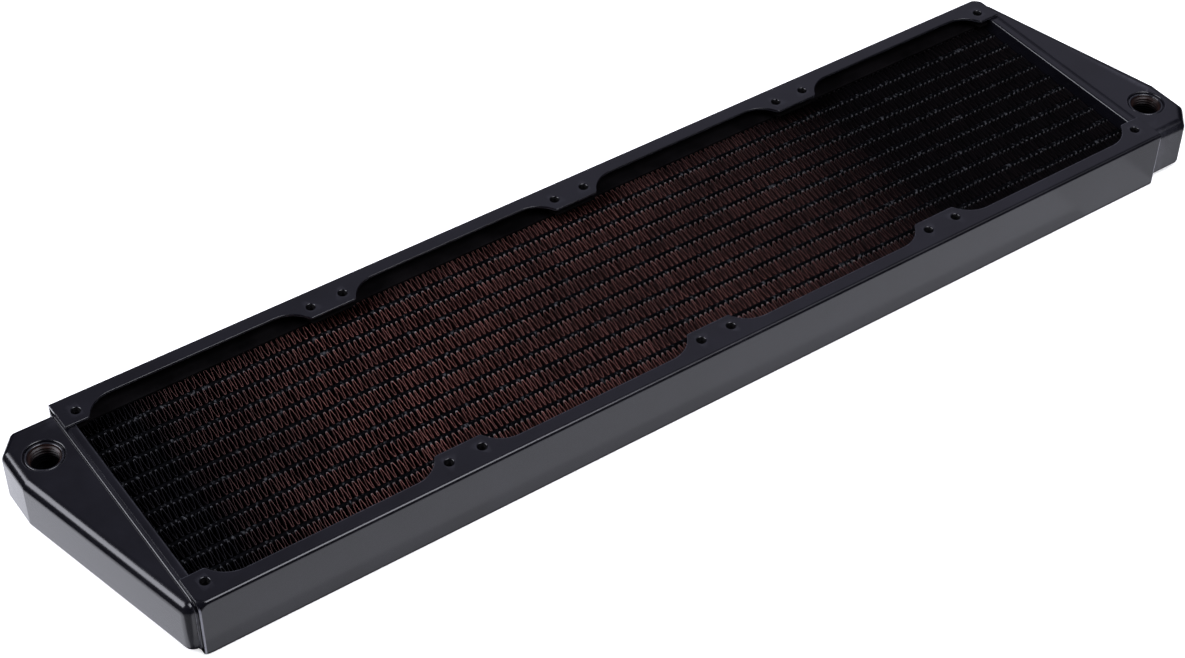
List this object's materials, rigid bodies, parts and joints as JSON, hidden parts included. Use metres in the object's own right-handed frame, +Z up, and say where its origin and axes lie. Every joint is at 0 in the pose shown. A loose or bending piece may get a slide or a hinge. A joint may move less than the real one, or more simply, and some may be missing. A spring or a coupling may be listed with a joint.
{
  "type": "liquid cooling radiator",
  "caption": "Slim cross-flow liquid cooling radiator for a row of fans, with flat tubes, corrugated fins, slanted end tanks and a threaded port at opposite corners.",
  "frame": {"origin": "middle of the lower face, in the plane of the lower flanges", "axes": "+X along the length from the left tank to the right tank, +Y across the width, +Z up through the thickness, out of the face with the ports"},
  "size_m": [0.532, 0.124, 0.0288],
  "materials": {
    "black_paint": "satin black powder paint over copper sheet",
    "tube_paint": "thin black paint over brass tube",
    "fin_copper": "bare dark copper between the tubes, misted with black paint",
    "bare_copper_alloy": "bare machined thread, painted on its upper face"
  },
  "bodies": {
    "root": {"rail_front": "black_paint", "rail_rear": "black_paint", "screw_guard_front_top": "black_paint", "screw_guard_rear_top": "black_paint", "screw_guard_front_bottom": "black_paint", "screw_guard_rear_bottom": "black_paint", "header_tray_left": "black_paint", "header_tray_right": "black_paint", "tank_left": "black_paint", "tank_right": "black_paint", "port_bushing_left": "bare_copper_alloy", "port_bushing_right": "bare_copper_alloy", "tube_01": "tube_paint", "tube_02": "tube_paint", "tube_03": "tube_paint", "tube_04": "tube_paint", "tube_05": "tube_paint", "tube_06": "tube_paint", "tube_07": "tube_paint", "tube_08": "tube_paint", "tube_09": "tube_paint", "tube_10": "tube_paint", "tube_11": "tube_paint", "tube_12": "tube_paint", "fin_strip_01": "fin_copper", "fin_strip_02": "fin_copper", "fin_strip_03": "fin_copper", "fin_strip_04": "fin_copper", "fin_strip_05": "fin_copper", "fin_strip_06": "fin_copper", "fin_strip_07": "fin_copper", "fin_strip_08": "fin_copper", "fin_strip_09": "fin_copper", "fin_strip_10": "fin_copper", "fin_strip_11": "fin_copper", "fin_strip_12": "fin_copper", "fin_strip_13": "fin_copper"}
  },
  "joints": []
}
